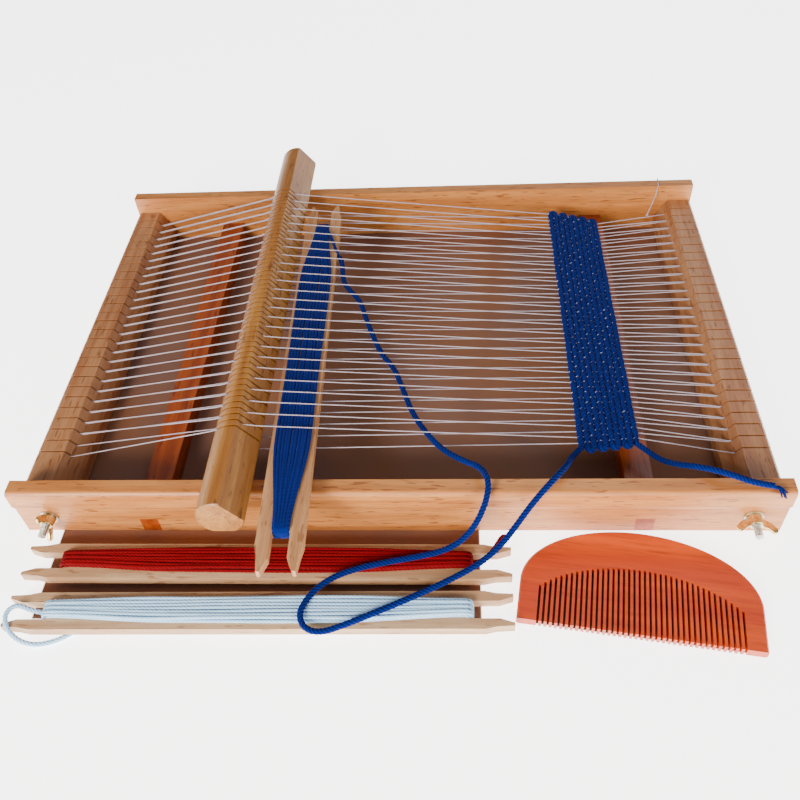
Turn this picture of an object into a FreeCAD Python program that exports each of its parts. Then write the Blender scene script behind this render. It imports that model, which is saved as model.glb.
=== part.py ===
import FreeCAD, Part
import math
import os
from FreeCAD import Vector

# Table loom with a turning heddle bar, its three shuttles and its beating comb.
# Millimetres.  X runs along the rails (and along the warp), Y from the front rail
# to the back rail, Z up.  The origin is in the middle of the front rail's underside.

# Frame
RAIL_LENGTH = 400.0
RAIL_HEIGHT = 35.0
RAIL_WEB = 7.5            # thickness of the rail below its bead
RAIL_SPACING = 261.5      # middle of the front web to middle of the back web
BEAD_HEIGHT = 12.0
BEAD_PROUD = 1.5          # how far the bead stands out of the web
BEAD_ROUND = 2.5
COVE_HEIGHT = 4.5

# Crossbars, tenoned through the rails
CROSSBAR_OFFSET = 130.5   # from the middle of the loom
CROSSBAR_WIDTH = 15.0
CROSSBAR_HEIGHT = 12.0
TENON_WIDTH = 9.8
TENON_HEIGHT = 10.5

# End boards that carry the warp
BOARD_DROP = 12.0         # board top below rail top
BOARD_INSET = 0.3         # board face inside the rail end, and board end off the rail
BOARD_TOP_WIDTH = 15.7
BOARD_WIDTH = 23.7
BOARD_BEVEL_DROP = 12.5
BOARD_LIFT = 2.5          # board underside above the table
BOARD_ARRIS = 1.5
KERF_PITCH = 8.28
KERF_WIDTH = 1.1
KERF_DEPTH = 5.7
KERF_FRONT_MARGIN = 28.8  # plain wood before the first kerf
KERF_BACK_MARGIN = 8.0    # least plain wood behind the last kerf

# Board bolts, washers and wing nuts
BOLT_INSET = 15.7         # bolt axis, inside the board's outer face
BOLT_HEIGHT = 13.0
BOLT_RADIUS = 2.0
BOLT_HOLE_GAP = 0.2
BOLT_GRIP = 25.0          # length screwed into the board
BOLT_END_GAP = 12.5       # bolt end beyond the rail's web
WASHER_RADIUS = 5.0
WASHER_THICK = 0.8
NUT_BORE_GAP = 0.05
NUT_HUB_RADIUS = 4.0
NUT_HUB_HEIGHT = 5.0
NUT_WING_REACH = 10.6
NUT_WING_THICK = 1.7

# Heddle bar
BAR_X = -80.0
BAR_RADIUS = 12.0
BAR_FRONT_OVERHANG = 27.25
BAR_BACK_OVERHANG = 24.25
BAR_LOW_FLAT = 10.0       # axis to the flat that rests on the rails
BAR_SIDE_FLAT = 8.5       # axis to the flat on the upper right
BAR_SIDE_FLAT_ANGLE = 38.0
SADDLE_GAP = 0.2
SLOT_WIDTH = 1.2
SLOT_CREST = 8.0          # axis to the seat of the raised warps
SLOT_CREST_X = -0.5
SLOT_RELIEF = 0.01        # slope by which the seat falls away below the thread
SLOT_FLOOR = 0.18         # axis to the floor of the slots of the lowered warps
SLOT_FLOOR_ANGLE = 49.0
SLOT_LIP = (0.36, 0.34)   # lowered thread at the slot's upper lip: above the floor, past the lip
SLOT_HEEL = (0.55, -0.18) # and at its lower end
FIRST_SLOT_LEAD = 10.9    # first slot, forward of the first kerf
SLOT_MOUTH = 0.6          # a thread straightens into its slot this far off the bar

# Warp and cloth
WARP_RADIUS = 0.3
WARP_STACK = 0.75         # height between two threads in one kerf
CLOTH_LEFT = 98.5
CLOTH_RIGHT = 131.5
CLOTH_LEFT_Z = 25.8
CLOTH_RIGHT_Z = 23.1
CLOTH_THICK = 2.2
CLOTH_FRONT_LEFT = 28.4
CLOTH_FRONT_RIGHT = 35.0
CLOTH_BACK_LEFT_LEAD = 5.1    # cloth's back corners, forward of the last kerf
CLOTH_BACK_RIGHT_LEAD = 15.2
CORNER_X = 4.0            # clipped corners where the weft leaves the cloth
CORNER_Y = 3.8

# Shuttle in the shed
BLUE_LENGTH = 284.0
BLUE_WIDTH = 23.0
BLUE_THICK = 5.0
BLUE_BAR_GAP = 7.2        # heddle bar to the shuttle's left edge, at its place
BLUE_PLACE_Y = -36.25
BLUE_TURN = 1.2
BLUE_FRONT = -19.0        # front tips, measured along the shuttle from its place
BLUE_UNDERSIDE = 39.7
BLUE_WOUND_WIDTH = 19.0
BLUE_WOUND_HEIGHT = 8.5

# Spare shuttles on the table
SPARE_LENGTH = 251.0
SPARE_WIDTH = 20.0
SPARE_THICK = 5.6
SPARE_UNDERSIDE = 3.2
SPARE_WOUND_WIDTH = 14.0
SPARE_WOUND_HEIGHT = 12.0
SPARE_WOUND_INSET = 20.0  # fork tip to the end of the winding
FORK_DEPTH = 22.7
FORK_GAP = 9.2
FORK_TIP = 14.0
FORK_TIP_WIDTH = 1.6
RED_PLACE = (-64.5, -28.0)
RED_TURN = 0.0
WHITE_PLACE = (-64.5, -55.5)
WHITE_TURN = 0.6

# Beating comb
COMB_WIDTH = 116.0
COMB_SIDE = 22.0
COMB_CROWN = 35.0
COMB_THICK = 5.0
COMB_PLACE = (61.8, -56.5)
COMB_TURN = -8.3
COMB_TEETH = 39
COMB_PITCH = 2.52
COMB_GAP = 1.15
COMB_ROOT_MIDDLE = 35.0
COMB_ROOT_END = 19.5
COMB_ROUND = 0.8

# Yarns, with their hand-laid routes
YARN_RADIUS = 1.65
THIN_YARN_RADIUS = 1.3
WEFT_FREE_ROUTE = [
    (-37.4, 160.0, 41.2), (-35.6, 152.4, 39.2), (-31.0, 146.4, 38.2),
    (-24.6, 137.6, 37.6), (-20.0, 121.6, 37.1), (-14.4, 106.0, 36.5), (-9.6, 93.4, 36.1),
    (-1.2, 82.0, 35.5), (4.2, 66.0, 35.1),
    (11.0, 46.0, 34.3), (24.0, 25.5, 34.2), (36.5, 14.5, 36.6), (46.4, 7.6, 40.0),
    (50.0, -1.6, 40.6), (48.6, -10.4, 37.0), (44.6, -16.8, 29.6), (38.6, -21.8, 21.6),
    (28.5, -26.0, 15.8), (13.0, -29.2, 14.6), (-4.0, -32.4, 14.3), (-19.0, -36.4, 14.2),
    (-31.0, -42.4, 14.0), (-39.0, -51.4, 13.9), (-42.2, -60.6, 13.7), (-38.6, -67.0, 12.4),
    (-31.0, -68.8, 12.0), (-20.5, -65.4, 12.8), (-6.0, -59.6, 14.1), (12.0, -51.2, 14.4),
    (30.0, -42.0, 14.6), (44.6, -33.6, 15.6), (54.8, -26.2, 19.6), (62.4, -19.4, 26.4),
    (69.4, -13.0, 34.4), (77.6, -5.6, 40.2), (86.0, 3.6, 41.2), (90.4, 11.8, 37.0),
    (92.0, 18.2, 30.8)]
WEFT_LEAD_OUT = 7.0       # straight stretch out of the shuttle's edge
WEFT_LEAD_IN = 8.0        # straight stretch into the cloth
WEFT_EXIT = 212.0         # along the shuttle from its place
WEFT_EXIT_TURN = 20.0     # outward from the shuttle's own direction
TAIL_LEAD_OUT = 7.6
TAIL_FREE_ROUTE = [
    (139.6, 23.6, 25.0), (145.4, 16.6, 30.0), (152.4, 10.4, 36.4), (161.0, 5.2, 40.0),
    (170.4, 1.6, 39.6), (179.6, -1.2, 37.6), (188.4, -2.6, 37.1)]
RED_END_ROUTE = [
    (39.0, -28.0, 6.6), (45.6, -27.6, 7.6), (50.2, -25.0, 10.2), (53.4, -20.8, 11.8),
    (55.8, -16.0, 10.8), (57.6, -12.0, 7.2), (58.6, -9.6, 3.0)]
WHITE_LOOP_ROUTE = [
    (-171.0, -56.8, 7.0), (-177.5, -56.6, 9.0), (-183.6, -54.6, 11.0), (-187.6, -57.4, 11.4),
    (-187.8, -62.6, 11.2), (-185.0, -67.8, 8.4), (-179.6, -70.8, 4.0), (-172.0, -71.4, 1.7),
    (-163.6, -69.2, 1.6), (-156.6, -65.2, 1.6), (-150.6, -60.4, 1.6)]
TIE_ROUTE = [
    (168.5, 246.0, 19.4), (173.5, 252.0, 30.0), (175.6, 257.6, 36.0), (176.6, 266.4, 35.7),
    (177.2, 267.8, 31.0), (177.6, 267.8, 23.0)]
TIE_KNOT_RADIUS = 0.9

# Worked-out places
HALF_LENGTH = RAIL_LENGTH / 2
FRONT_INNER = RAIL_WEB / 2
BACK_INNER = RAIL_SPACING - RAIL_WEB / 2
BOARD_OUTER = HALF_LENGTH - BOARD_INSET
BOARD_TOP = RAIL_HEIGHT - BOARD_DROP
BOARD_FRONT = FRONT_INNER + BOARD_INSET
BOARD_BACK = BACK_INNER - BOARD_INSET
KERF_FLOOR = BOARD_TOP - KERF_DEPTH
FIRST_KERF = BOARD_FRONT + KERF_FRONT_MARGIN
KERF_COUNT = 1 + int((BOARD_BACK - KERF_BACK_MARGIN - KERF_WIDTH - FIRST_KERF) / KERF_PITCH)
CLOTH_BACK_LEFT = FIRST_KERF + (KERF_COUNT - 1) * KERF_PITCH - CLOTH_BACK_LEFT_LEAD
CLOTH_BACK_RIGHT = FIRST_KERF + (KERF_COUNT - 1) * KERF_PITCH - CLOTH_BACK_RIGHT_LEAD
BOLT_OFFSET = BOARD_OUTER - BOLT_INSET
BLUE_PLACE = (BAR_X + BAR_RADIUS + BLUE_BAR_GAP + BLUE_WIDTH / 2, BLUE_PLACE_Y)
BAR_AXIS_Z = RAIL_HEIGHT + BAR_LOW_FLAT
BAR_FRONT = -BAR_FRONT_OVERHANG
BAR_BACK = RAIL_SPACING + BAR_BACK_OVERHANG
FIRST_SLOT = FIRST_KERF - FIRST_SLOT_LEAD
SLOT_PITCH = KERF_PITCH / 2
STRAND_COUNT = 2 * (KERF_COUNT - 1)


def box(x0, x1, y0, y1, z0, z1):
    return Part.makeBox(x1 - x0, y1 - y0, z1 - z0, Vector(x0, y0, z0))


def cylinder_y(x, z, radius, y0, y1):
    return Part.makeCylinder(radius, y1 - y0, Vector(x, y0, z), Vector(0, 1, 0))


def prism_y(outline, y0, y1):
    """A solid whose outline, in X and Z, is drawn out from y0 to y1."""
    corners = [Vector(x, y0, z) for x, z in outline]
    return Part.Face(Part.makePolygon(corners + corners[:1])).extrude(Vector(0, y1 - y0, 0))


def prism_z(outline, z0, z1):
    """A solid whose outline, in X and Y, is drawn up from z0 to z1."""
    corners = [Vector(x, y, z0) for x, y in outline]
    return Part.Face(Part.makePolygon(corners + corners[:1])).extrude(Vector(0, 0, z1 - z0))


def placed(shape, place, turn):
    """Turn a flat-lying piece about Z and set it down at a place on the table."""
    done = shape.copy()
    done.rotate(Vector(0, 0, 0), Vector(0, 0, 1), turn)
    done.translate(Vector(place[0], place[1], 0))
    return done


def save(name, shape):
    shape.exportStep("parts/" + name + ".step")
    print(name, len(shape.Solids), "solids", round(shape.Volume, 1), shape.isValid())


# Frame ---------------------------------------------------------------------

def rail(web_y, outward):
    """A rail with a rounded bead along its top; outward is -1 in front, 1 behind."""
    inner = web_y - outward * RAIL_WEB / 2
    outer = web_y + outward * RAIL_WEB / 2
    proud = outer + outward * BEAD_PROUD
    bead_z = RAIL_HEIGHT - BEAD_HEIGHT
    cove_z = bead_z - COVE_HEIGHT
    cut = BEAD_ROUND * (1 - math.sqrt(0.5))

    def at(y, z):
        return Vector(-HALF_LENGTH, y, z)

    edges = [
        Part.LineSegment(at(inner, 0), at(outer, 0)),
        Part.LineSegment(at(outer, 0), at(outer, cove_z)),
        Part.Arc(at(outer, cove_z), at(outer + outward * BEAD_PROUD * 0.25, cove_z + COVE_HEIGHT * 0.62),
                 at(proud, bead_z)),
        Part.LineSegment(at(proud, bead_z), at(proud, RAIL_HEIGHT - BEAD_ROUND)),
        Part.Arc(at(proud, RAIL_HEIGHT - BEAD_ROUND), at(proud - outward * cut, RAIL_HEIGHT - cut),
                 at(proud - outward * BEAD_ROUND, RAIL_HEIGHT)),
        Part.LineSegment(at(proud - outward * BEAD_ROUND, RAIL_HEIGHT), at(inner, RAIL_HEIGHT)),
        Part.LineSegment(at(inner, RAIL_HEIGHT), at(inner, 0))]
    body = Part.Face(Part.Wire([edge.toShape() for edge in edges])).extrude(Vector(RAIL_LENGTH, 0, 0))
    low = web_y - RAIL_WEB
    high = web_y + RAIL_WEB
    for side in (-1, 1):
        middle = side * CROSSBAR_OFFSET
        body = body.cut(box(middle - TENON_WIDTH / 2, middle + TENON_WIDTH / 2, low, high, 0, TENON_HEIGHT))
        body = body.cut(cylinder_y(side * BOLT_OFFSET, BOLT_HEIGHT, BOLT_RADIUS + BOLT_HOLE_GAP, low, high))
    return body.cut(cylinder_y(BAR_X, BAR_AXIS_Z, BAR_RADIUS + SADDLE_GAP, low, high))


def crossbar(side):
    middle = side * CROSSBAR_OFFSET
    bar = box(middle - CROSSBAR_WIDTH / 2, middle + CROSSBAR_WIDTH / 2, FRONT_INNER, BACK_INNER,
              0, CROSSBAR_HEIGHT)
    tenons = box(middle - TENON_WIDTH / 2, middle + TENON_WIDTH / 2, -RAIL_WEB / 2,
                 RAIL_SPACING + RAIL_WEB / 2, 0, TENON_HEIGHT)
    return bar.fuse(tenons).removeSplitter()


def kerf_y(number):
    return FIRST_KERF + number * KERF_PITCH


def end_board(side):
    """A board with an inner bevel and a row of saw kerfs across its top."""
    inner = BOARD_OUTER - BOARD_WIDTH
    outline = [
        (BOARD_OUTER, BOARD_LIFT), (BOARD_OUTER, BOARD_TOP - BOARD_ARRIS),
        (BOARD_OUTER - BOARD_ARRIS, BOARD_TOP), (BOARD_OUTER - BOARD_TOP_WIDTH, BOARD_TOP),
        (inner, BOARD_TOP - BOARD_BEVEL_DROP), (inner, BOARD_LIFT)]
    board = prism_y([(side * x, z) for x, z in outline], BOARD_FRONT, BOARD_BACK)
    cuts = []
    for number in range(KERF_COUNT):
        middle = kerf_y(number)
        reach = sorted((side * (inner - 1), side * (BOARD_OUTER + 1)))
        cuts.append(box(reach[0], reach[1], middle - KERF_WIDTH / 2, middle + KERF_WIDTH / 2,
                        KERF_FLOOR, BOARD_TOP + 1))
    for y0, y1 in ((BOARD_FRONT, BOARD_FRONT + BOLT_GRIP), (BOARD_BACK - BOLT_GRIP, BOARD_BACK)):
        cuts.append(cylinder_y(side * BOLT_OFFSET, BOLT_HEIGHT, BOLT_RADIUS, y0, y1))
    return board.cut(Part.makeCompound(cuts))


# Bolts and nuts ------------------------------------------------------------

def board_bolts(side):
    """Two hanger bolts, screwed into the board's ends and standing out of the rails."""
    web_front = -RAIL_WEB / 2
    web_back = RAIL_SPACING + RAIL_WEB / 2
    front = cylinder_y(side * BOLT_OFFSET, BOLT_HEIGHT, BOLT_RADIUS,
                       web_front - BOLT_END_GAP, BOARD_FRONT + BOLT_GRIP)
    back = cylinder_y(side * BOLT_OFFSET, BOLT_HEIGHT, BOLT_RADIUS,
                      BOARD_BACK - BOLT_GRIP, web_back + BOLT_END_GAP)
    return Part.makeCompound([front, back])


def stacked(shape, side, outward):
    """Move a piece made at the origin, facing -Y, to its bolt at the face of a rail."""
    done = shape.copy()
    if outward > 0:
        done.rotate(Vector(0, 0, 0), Vector(0, 0, 1), 180)
    face = -RAIL_WEB / 2 if outward < 0 else RAIL_SPACING + RAIL_WEB / 2
    done.translate(Vector(side * BOLT_OFFSET, face, BOLT_HEIGHT))
    return done


def washer():
    ring = cylinder_y(0, 0, WASHER_RADIUS, -WASHER_THICK, 0)
    return ring.cut(cylinder_y(0, 0, BOLT_RADIUS + BOLT_HOLE_GAP, -WASHER_THICK, 0))


def wing_nut(turn):
    base = -WASHER_THICK
    hub = Part.makeCone(NUT_HUB_RADIUS, NUT_HUB_RADIUS - 0.8, NUT_HUB_HEIGHT, Vector(0, base, 0),
                        Vector(0, -1, 0))
    reach = NUT_WING_REACH
    outline = [(1.0, 0.8), (NUT_HUB_RADIUS, 0.8), (reach - 2.6, 3.4), (reach, 6.2), (reach - 0.4, 8.4),
               (reach - 2.6, 9.0), (reach - 5.4, 6.4), (2.4, NUT_HUB_HEIGHT), (1.0, NUT_HUB_HEIGHT)]
    for way in (-1, 1):
        corners = [Vector(way * out, base - up, -NUT_WING_THICK / 2) for out, up in outline]
        wing = Part.Face(Part.makePolygon(corners + corners[:1])).extrude(Vector(0, 0, NUT_WING_THICK))
        hub = hub.fuse(wing)
    hub = hub.removeSplitter()
    nut = hub.cut(cylinder_y(0, 0, BOLT_RADIUS + NUT_BORE_GAP, base - 12, base + 1))
    nut.rotate(Vector(0, 0, 0), Vector(0, 1, 0), turn)
    return nut


# Heddle bar ----------------------------------------------------------------

def slot_y(strand):
    return FIRST_SLOT + strand * SLOT_PITCH


def bar_point(x, z):
    return (BAR_X + x, BAR_AXIS_Z + z)


def half_plane(angle, distance, reach=30.0):
    """Outline of everything beyond a line at a distance from the bar's axis."""
    nx = math.cos(math.radians(angle))
    nz = math.sin(math.radians(angle))
    corners = [(distance, -reach), (distance + reach, -reach), (distance + reach, reach), (distance, reach)]
    return [bar_point(out * nx - along * nz, out * nz + along * nx) for out, along in corners]


def floor_point(offsets, end):
    """A point by one end of a lowered slot's floor: so far above it, and so far past the end."""
    lift, past = offsets
    nx = math.cos(math.radians(SLOT_FLOOR_ANGLE))
    nz = math.sin(math.radians(SLOT_FLOOR_ANGLE))
    out = SLOT_FLOOR + lift
    along = end * (math.sqrt(BAR_RADIUS ** 2 - SLOT_FLOOR ** 2) + past)
    return bar_point(out * nx - along * nz, out * nz + along * nx)


def heddle_bar():
    bar = cylinder_y(BAR_X, BAR_AXIS_Z, BAR_RADIUS, BAR_FRONT, BAR_BACK)
    bar = bar.makeChamfer(0.7, bar.Edges)
    bar = bar.cut(prism_y(half_plane(-90, BAR_LOW_FLAT), BAR_FRONT - 1, BAR_BACK + 1))
    bar = bar.cut(prism_y(half_plane(BAR_SIDE_FLAT_ANGLE, BAR_SIDE_FLAT), BAR_FRONT - 1, BAR_BACK + 1))
    edge = SLOT_CREST_X
    far = 2 * BAR_RADIUS
    rise = BAR_AXIS_Z + SLOT_CREST + WARP_RADIUS - CLOTH_LEFT_Z
    fall = rise / (CLOTH_LEFT - BAR_X - edge) + SLOT_RELIEF
    raised = [bar_point(*p) for p in (
        (edge, -far), (edge, SLOT_CREST), (far, SLOT_CREST - fall * (far - edge)), (far, far),
        (-far, far), (-far, -far))]
    lowered = half_plane(SLOT_FLOOR_ANGLE, SLOT_FLOOR)
    cuts = []
    for strand in range(STRAND_COUNT):
        middle = slot_y(strand)
        outline = raised if strand % 2 else lowered
        cuts.append(prism_y(outline, middle - SLOT_WIDTH / 2, middle + SLOT_WIDTH / 2))
    return bar.cut(Part.makeCompound(cuts))


# Warp and cloth ------------------------------------------------------------

def thread(points, radius=WARP_RADIUS):
    """A taut thread: straight runs with mitred corners."""
    path = Part.Wire(Part.makePolygon([Vector(*p) for p in points]).Edges)
    first = Vector(*points[0])
    circle = Part.Circle(first, Vector(*points[1]) - first, radius)
    return path.makePipeShell([Part.Wire(circle.toShape())], True, False, 1)


def spread(strand, first, last):
    return first + (last - first) * strand / (STRAND_COUNT - 1)


def left_kerf(strand):
    """Strand 0 starts in kerf 0; odd strands keep their kerf, even ones step back one."""
    return 0 if strand == 0 else (strand + 1) // 2 + (1 - strand % 2)


def right_kerf(strand):
    return (strand + 1) // 2


def seat_z(strand):
    """Two threads share a kerf, the lower shed's thread on top."""
    lift = 0.0 if strand % 2 else WARP_STACK
    return KERF_FLOOR + WARP_RADIUS + 0.05 + lift


def on_way(start, end, x):
    """The height at x of a thread pulled straight from start to end."""
    return start[2] + (end[2] - start[2]) * (x - start[0]) / (end[0] - start[0])


def left_run(strand):
    """From the outer face of the left board over the heddle bar to the cloth."""
    fell = (CLOTH_LEFT - 0.05, spread(strand, CLOTH_FRONT_LEFT + 5.6, CLOTH_BACK_LEFT - 2.5), CLOTH_LEFT_Z)
    kerf = kerf_y(left_kerf(strand))
    slot = slot_y(strand)
    seat = seat_z(strand)
    if strand % 2:
        turns = [bar_point(SLOT_CREST_X, SLOT_CREST + WARP_RADIUS + 0.05)]
    else:
        turns = [floor_point(SLOT_LIP, 1), floor_point(SLOT_HEEL, -1)]
    over = [(x, slot, z) for x, z in turns]
    out = (-BOARD_OUTER - WARP_RADIUS - 0.1, kerf, seat)
    lip = (-BOARD_OUTER + BOARD_TOP_WIDTH + 3.8, kerf, seat)
    entry = BAR_X - BAR_RADIUS - SLOT_MOUTH
    leave = BAR_X + BAR_RADIUS + SLOT_MOUTH
    before = (entry, slot, on_way(lip, over[0], entry))
    after = (leave, slot, on_way(over[-1], fell, leave))
    return [out, lip, before] + over + [after, fell]


def right_run(strand):
    """From the cloth to the outer face of the right board."""
    selvedge = (CLOTH_RIGHT + 0.05, spread(strand, CLOTH_FRONT_RIGHT + 4.4, CLOTH_BACK_RIGHT - 1.5),
                CLOTH_RIGHT_Z)
    kerf = kerf_y(right_kerf(strand))
    seat = seat_z(strand)
    lip = (BOARD_OUTER - BOARD_TOP_WIDTH - 3.8, kerf, seat)
    return [selvedge, lip, (BOARD_OUTER + WARP_RADIUS + 0.1, kerf, seat)]


def left_warp():
    """Each thread turns round one tooth of the left board; the first and last end there."""
    threads = [thread(left_run(0)), thread(left_run(STRAND_COUNT - 1))]
    for strand in range(1, STRAND_COUNT - 1, 2):
        threads.append(thread(list(reversed(left_run(strand + 1))) + left_run(strand)))
    return Part.makeCompound(threads)


def right_warp():
    threads = []
    for strand in range(1, STRAND_COUNT, 2):
        threads.append(thread(right_run(strand) + list(reversed(right_run(strand - 1)))))
    return Part.makeCompound(threads)


def warp_tie():
    """The warp's first end, knotted to the last strand and led over the back rail."""
    line = thread(TIE_ROUTE)
    knots = [Part.makeSphere(TIE_KNOT_RADIUS, Vector(*p)) for p in (TIE_ROUTE[0], TIE_ROUTE[-1])]
    return line.multiFuse(knots)


def cloth_z(x):
    return CLOTH_LEFT_Z + (CLOTH_RIGHT_Z - CLOTH_LEFT_Z) * (x - CLOTH_LEFT) / (CLOTH_RIGHT - CLOTH_LEFT)


def woven_band():
    outline = [
        (CLOTH_LEFT, CLOTH_BACK_LEFT), (CLOTH_LEFT, CLOTH_FRONT_LEFT + CORNER_Y + 1.2),
        (CLOTH_LEFT + CORNER_X, CLOTH_FRONT_LEFT + 1.2), (CLOTH_RIGHT - CORNER_X, CLOTH_FRONT_RIGHT - 0.8),
        (CLOTH_RIGHT, CLOTH_FRONT_RIGHT + CORNER_Y - 0.8), (CLOTH_RIGHT, CLOTH_BACK_RIGHT)]
    corners = [Vector(x, y, cloth_z(x) - CLOTH_THICK / 2) for x, y in outline]
    return Part.Face(Part.makePolygon(corners + corners[:1])).extrude(Vector(0, 0, CLOTH_THICK))


def cloth_corner(near_left):
    """The middle of a clipped corner, and the way the weft leaves it."""
    length = math.hypot(CORNER_X, CORNER_Y)
    if near_left:
        x = CLOTH_LEFT + CORNER_X / 2
        y = CLOTH_FRONT_LEFT + 1.2 + CORNER_Y / 2
        way = Vector(-CORNER_Y / length, -CORNER_X / length, 0)
    else:
        x = CLOTH_RIGHT - CORNER_X / 2
        y = CLOTH_FRONT_RIGHT - 0.8 + CORNER_Y / 2
        way = Vector(CORNER_Y / length, -CORNER_X / length, 0)
    return Vector(x, y, cloth_z(x)), way


# Shuttles ------------------------------------------------------------------

def stick(length, width, thick, underside):
    """A flat stick along X, forked at both ends, with tapered prongs."""
    half = length / 2
    side = width / 2
    gap = FORK_GAP / 2
    tip = side - (side - gap) * 0.45
    quarter = [
        (half - FORK_DEPTH, gap - 1.6), (half - FORK_DEPTH + 1.8, gap), (half - FORK_TIP * 0.5, gap),
        (half, tip - FORK_TIP_WIDTH / 2), (half, tip + FORK_TIP_WIDTH / 2),
        (half - FORK_TIP * 0.6, side - 1.2), (half - FORK_TIP, side)]
    back = [(-x, y) for x, y in reversed(quarter)]
    upper = quarter + back
    lower = [(x, -y) for x, y in reversed(upper)]
    return prism_z(upper + lower, underside, underside + thick)


def winding(length, width, height, stick_shape, middle_z):
    """Yarn wound lengthwise through both forks: fat in the middle, thin in the forks."""
    half = length / 2
    gap = FORK_GAP / 2 - 0.3
    side = width / 2
    quarter = [(half, gap), (half - 14, gap), (half - 34, side * 0.85), (half - 62, side)]
    upper = quarter + [(-x, y) for x, y in reversed(quarter)]
    plan = prism_z(upper + [(x, -y) for x, y in reversed(upper)], middle_z - height, middle_z + height)
    rise = height / 2
    profile = [(half, rise * 0.62), (half - 6, rise * 0.82), (half - 40, rise)]
    top = profile + [(-x, z) for x, z in reversed(profile)]
    loop = [(x, middle_z + z) for x, z in top] + [(x, middle_z - z) for x, z in reversed(top)]
    elevation = prism_y(loop, -width, width)
    section = [(side + 0.1, rise * 0.35), (side * 0.72, rise * 0.86), (side * 0.4, rise * 1.01)]
    rim = section + [(-y, z) for y, z in reversed(section)]
    ring = [Vector(-half - 1, y, middle_z + z) for y, z in rim + [(y, -z) for y, z in reversed(rim)]]
    bulge = Part.Face(Part.makePolygon(ring + ring[:1])).extrude(Vector(length + 2, 0, 0))
    return plan.common(elevation).common(bulge).cut(stick_shape)


def blue_axis():
    """The way along the blue shuttle, front to back, and the way out of its right edge."""
    turn = math.radians(BLUE_TURN)
    return Vector(-math.sin(turn), math.cos(turn), 0), Vector(math.cos(turn), math.sin(turn), 0)


def blue_shuttle():
    wood = stick(BLUE_LENGTH, BLUE_WIDTH, BLUE_THICK, BLUE_UNDERSIDE)
    wound = winding(BLUE_LENGTH - 2 * FORK_DEPTH + 4.4, BLUE_WOUND_WIDTH, BLUE_WOUND_HEIGHT, wood,
                    BLUE_UNDERSIDE + BLUE_THICK / 2)
    along, _ = blue_axis()
    middle = Vector(BLUE_PLACE[0], BLUE_PLACE[1], 0) + along * (BLUE_FRONT + BLUE_LENGTH / 2)
    return [placed(shape, (middle.x, middle.y), 90 + BLUE_TURN) for shape in (wood, wound)]


def spare_shuttle(place, turn):
    wood = stick(SPARE_LENGTH, SPARE_WIDTH, SPARE_THICK, SPARE_UNDERSIDE)
    wound = winding(SPARE_LENGTH - 2 * SPARE_WOUND_INSET, SPARE_WOUND_WIDTH, SPARE_WOUND_HEIGHT, wood,
                    SPARE_WOUND_HEIGHT / 2)
    return [placed(shape, place, turn) for shape in (wood, wound)]


# Comb ----------------------------------------------------------------------

def comb():
    """A half-moon comb whose tooth roots follow its curved back."""
    half = COMB_WIDTH / 2
    left = Vector(-half, COMB_SIDE, 0)
    crown = Part.Ellipse(Vector(0, COMB_SIDE, 0), half, COMB_CROWN).toShape(0, math.pi)
    base = Part.makePolygon([left, Vector(-half, 0, 0), Vector(half, 0, 0), Vector(half, COMB_SIDE, 0)])
    outline = Part.Wire([crown] + base.Edges)
    plate = Part.Face(outline).extrude(Vector(0, 0, COMB_THICK))
    rims = [edge for edge in plate.Edges if edge.BoundBox.ZLength < 0.01 and edge.BoundBox.YMax > 1]
    plate = plate.makeChamfer(COMB_ROUND, rims)
    gaps = []
    reach = COMB_PITCH * (COMB_TEETH - 1) / 2
    for number in range(COMB_TEETH):
        x = number * COMB_PITCH - reach
        rise = math.sqrt(max(0.0, 1 - (x / half) ** 2))
        low = math.sqrt(max(0.0, 1 - (reach / half) ** 2))
        root = COMB_ROOT_END + (COMB_ROOT_MIDDLE - COMB_ROOT_END) * (rise - low) / (1 - low)
        gaps.append(box(x - COMB_GAP / 2, x + COMB_GAP / 2, -1, root, -1, COMB_THICK + 1))
    plate = plate.cut(Part.makeCompound(gaps))
    plate.translate(Vector(half, 0, 0))
    return placed(plate, COMB_PLACE, COMB_TURN)


# Yarns ---------------------------------------------------------------------

def yarn(name, points, radius):
    """Straight runs joined by tangent arcs, each as large as its two runs allow."""
    nodes = [Vector(*p) for p in points]
    edges = []
    start = nodes[0]
    tightest = 1e9
    for before, corner, after in zip(nodes, nodes[1:], nodes[2:]):
        toward = (before - corner).normalize()
        onward = (after - corner).normalize()
        half_turn = (math.pi - toward.getAngle(onward)) / 2
        reach = 0.45 * min((before - corner).Length, (after - corner).Length)
        bend = reach / math.tan(half_turn)
        tightest = min(tightest, bend)
        inward = (toward + onward).normalize()
        middle = corner + inward * (bend / math.cos(half_turn) - bend)
        entry = corner + toward * reach
        leave = corner + onward * reach
        edges.append(Part.LineSegment(start, entry).toShape())
        edges.append(Part.Arc(entry, middle, leave).toShape())
        start = leave
        print(name, "corner", [round(v, 1) for v in corner], "turn", round(math.degrees(2 * half_turn), 1),
              "radius", round(bend, 1))
    edges.append(Part.LineSegment(start, nodes[-1]).toShape())
    path = Part.Wire(edges)
    circle = Part.Circle(nodes[0], nodes[1] - nodes[0], radius)
    tube = path.makePipeShell([Part.Wire(circle.toShape())], True, False)
    share = tube.Volume / (math.pi * radius ** 2 * path.Length)
    print(name, "length", round(path.Length, 1), "tightest", round(tightest, 1))
    print(name, "volume share", round(share, 4))
    return tube


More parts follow.
